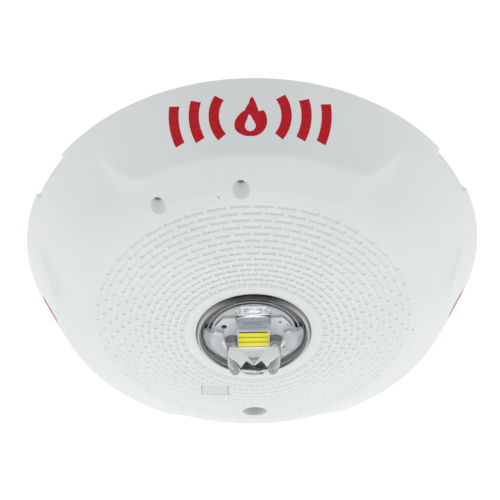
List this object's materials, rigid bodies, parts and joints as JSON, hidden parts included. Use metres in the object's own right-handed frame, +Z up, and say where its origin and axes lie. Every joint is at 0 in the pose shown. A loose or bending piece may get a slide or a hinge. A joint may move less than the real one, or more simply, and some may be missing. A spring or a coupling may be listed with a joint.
{
  "type": "horn strobe",
  "caption": "Round ceiling alarm sounder with an LED beacon: domed slotted cover with a clear optic, sound ports and a screw well, hooked to a round mounting plate.",
  "frame": {"origin": "centre of the mounting plate's back face, in the plane of the ceiling", "axes": "+Z up into the ceiling, so the device hangs towards -Z; the main marking panel faces -Y and the hinge hooks lie on that side; +X to the right seen from -Y"},
  "size_m": [0.173, 0.1724, 0.0625],
  "materials": {
    "cover_white": "fine moulded texture, satin white",
    "housing_white": "satin moulded, off-white",
    "plate_white": "satin moulded, white",
    "block_black": "glass-filled black plastic",
    "contact_brass": "rolled brass strip",
    "spring_bronze": "spring bronze",
    "blade_tin": "bright tin plate",
    "screw_zinc": "bright zinc plate",
    "screw_steel": "plain steel",
    "clamp_zinc": "zinc-plated pressed steel",
    "retainer_nylon": "natural nylon",
    "board_green": "solder mask",
    "carrier_black": "moulded black",
    "switch_blue": "moulded blue",
    "slider_white": "moulded light grey",
    "dial_grey": "moulded grey",
    "window_clear": "clear polycarbonate",
    "optic_clear": "polished clear polycarbonate",
    "chamber_black": "moulded black",
    "disc_brass": "rolled brass",
    "ceramic_cream": "silvered ceramic",
    "ring_rubber": "soft moulded",
    "can_aluminium": "sleeved aluminium",
    "ferrite": "sintered ferrite",
    "winding_copper": "enamelled copper",
    "chip_black": "moulded epoxy",
    "tower_black": "moulded black",
    "sink_black": "black anodised",
    "led_board_white": "white solder mask",
    "emitter_ceramic": "ceramic package",
    "phosphor_yellow": "silicone and phosphor"
  },
  "bodies": {
    "ceiling_plate": {"mounting_plate": "plate_white", "terminal_block": "block_black", "terminal_contacts": "contact_brass", "shorting_spring": "spring_bronze", "screw_insert": "contact_brass"},
    "device": {"front_cover": "cover_white", "rear_housing": "housing_white", "main_board": "board_green", "blade_carrier": "carrier_black", "contact_blades": "blade_tin", "board_screws": "screw_steel", "cover_screws": "screw_zinc", "candela_switch": "switch_blue", "candela_window": "window_clear", "tone_switch": "switch_blue", "horn_chamber": "chamber_black", "sounder_disc": "disc_brass", "sounder_ceramic": "ceramic_cream", "sounder_ring": "ring_rubber", "sounder_seat": "ring_rubber", "sounder_pins": "contact_brass", "storage_capacitors": "can_aluminium", "inductor_core": "ferrite", "inductor_winding": "winding_copper", "controller_chip": "chip_black", "led_tower": "tower_black", "led_heat_sink": "sink_black", "led_board": "led_board_white", "led_pins": "blade_tin", "led_emitter": "emitter_ceramic", "led_phosphor": "phosphor_yellow", "optic": "optic_clear"},
    "candela_slider": {"candela_slider": "slider_white"},
    "tone_dial": {"tone_dial": "dial_grey"},
    "screw_retainer": {"screw_retainer": "retainer_nylon"},
    "mounting_screw": {"mounting_screw": "screw_zinc"},
    "terminal_clamp_1": {"terminal_clamp_1": "clamp_zinc"},
    "terminal_screw_1": {"terminal_screw_1": "screw_zinc"},
    "terminal_clamp_2": {"terminal_clamp_2": "clamp_zinc"},
    "terminal_screw_2": {"terminal_screw_2": "screw_zinc"},
    "terminal_clamp_3": {"terminal_clamp_3": "clamp_zinc"},
    "terminal_screw_3": {"terminal_screw_3": "screw_zinc"},
    "terminal_clamp_4": {"terminal_clamp_4": "clamp_zinc"},
    "terminal_screw_4": {"terminal_screw_4": "screw_zinc"}
  },
  "joints": [
    {"name": "device_swing", "type": "hinge", "parent": "ceiling_plate", "child": "device", "pos_m": [0, -0.079, -0.0036], "axis": [-1, 0, 0], "range_deg": [0, 15]},
    {"name": "candela_slide", "type": "slide", "parent": "device", "child": "candela_slider", "axis": [1, 0, 0], "range_m": [-0.005, 0.005]},
    {"name": "tone_turn", "type": "hinge", "parent": "device", "child": "tone_dial", "pos_m": [-0.044, 0.006, -0.01], "axis": [0, 0, 1], "continuous": true},
    {"name": "mounting_screw_travel", "type": "slide", "parent": "device", "child": "screw_retainer", "axis": [0, 0, -1], "range_m": [0, 0.006]},
    {"name": "mounting_screw_turn", "type": "hinge", "parent": "screw_retainer", "child": "mounting_screw", "pos_m": [0, 0.05, -0.012], "axis": [0, 0, -1], "range_deg": [0, 3090]},
    {"name": "terminal_1_travel", "type": "slide", "parent": "ceiling_plate", "child": "terminal_clamp_1", "axis": [0, 0, -1], "range_m": [0, 0.0022]},
    {"name": "terminal_1_turn", "type": "hinge", "parent": "terminal_clamp_1", "child": "terminal_screw_1", "pos_m": [0.0432, -0.018, -0.008], "axis": [0, 0, -1], "range_deg": [0, 1322]},
    {"name": "terminal_2_travel", "type": "slide", "parent": "ceiling_plate", "child": "terminal_clamp_2", "axis": [0, 0, -1], "range_m": [0, 0.0022]},
    {"name": "terminal_2_turn", "type": "hinge", "parent": "terminal_clamp_2", "child": "terminal_screw_2", "pos_m": [0.0432, -0.006, -0.008], "axis": [0, 0, -1], "range_deg": [0, 1322]},
    {"name": "terminal_3_travel", "type": "slide", "parent": "ceiling_plate", "child": "terminal_clamp_3", "axis": [0, 0, -1], "range_m": [0, 0.0022]},
    {"name": "terminal_3_turn", "type": "hinge", "parent": "terminal_clamp_3", "child": "terminal_screw_3", "pos_m": [0.0432, 0.006, -0.008], "axis": [0, 0, -1], "range_deg": [0, 1322]},
    {"name": "terminal_4_travel", "type": "slide", "parent": "ceiling_plate", "child": "terminal_clamp_4", "axis": [0, 0, -1], "range_m": [0, 0.0022]},
    {"name": "terminal_4_turn", "type": "hinge", "parent": "terminal_clamp_4", "child": "terminal_screw_4", "pos_m": [0.0432, 0.018, -0.008], "axis": [0, 0, -1], "range_deg": [0, 1322]}
  ],
  "couplings": [
    {"joint": "mounting_screw_turn", "follows": "mounting_screw_travel", "rad_per_m": 8976},
    {"joint": "terminal_1_turn", "follows": "terminal_1_travel", "rad_per_m": 10472},
    {"joint": "terminal_2_turn", "follows": "terminal_2_travel", "rad_per_m": 10472},
    {"joint": "terminal_3_turn", "follows": "terminal_3_travel", "rad_per_m": 10472},
    {"joint": "terminal_4_turn", "follows": "terminal_4_travel", "rad_per_m": 10472}
  ]
}
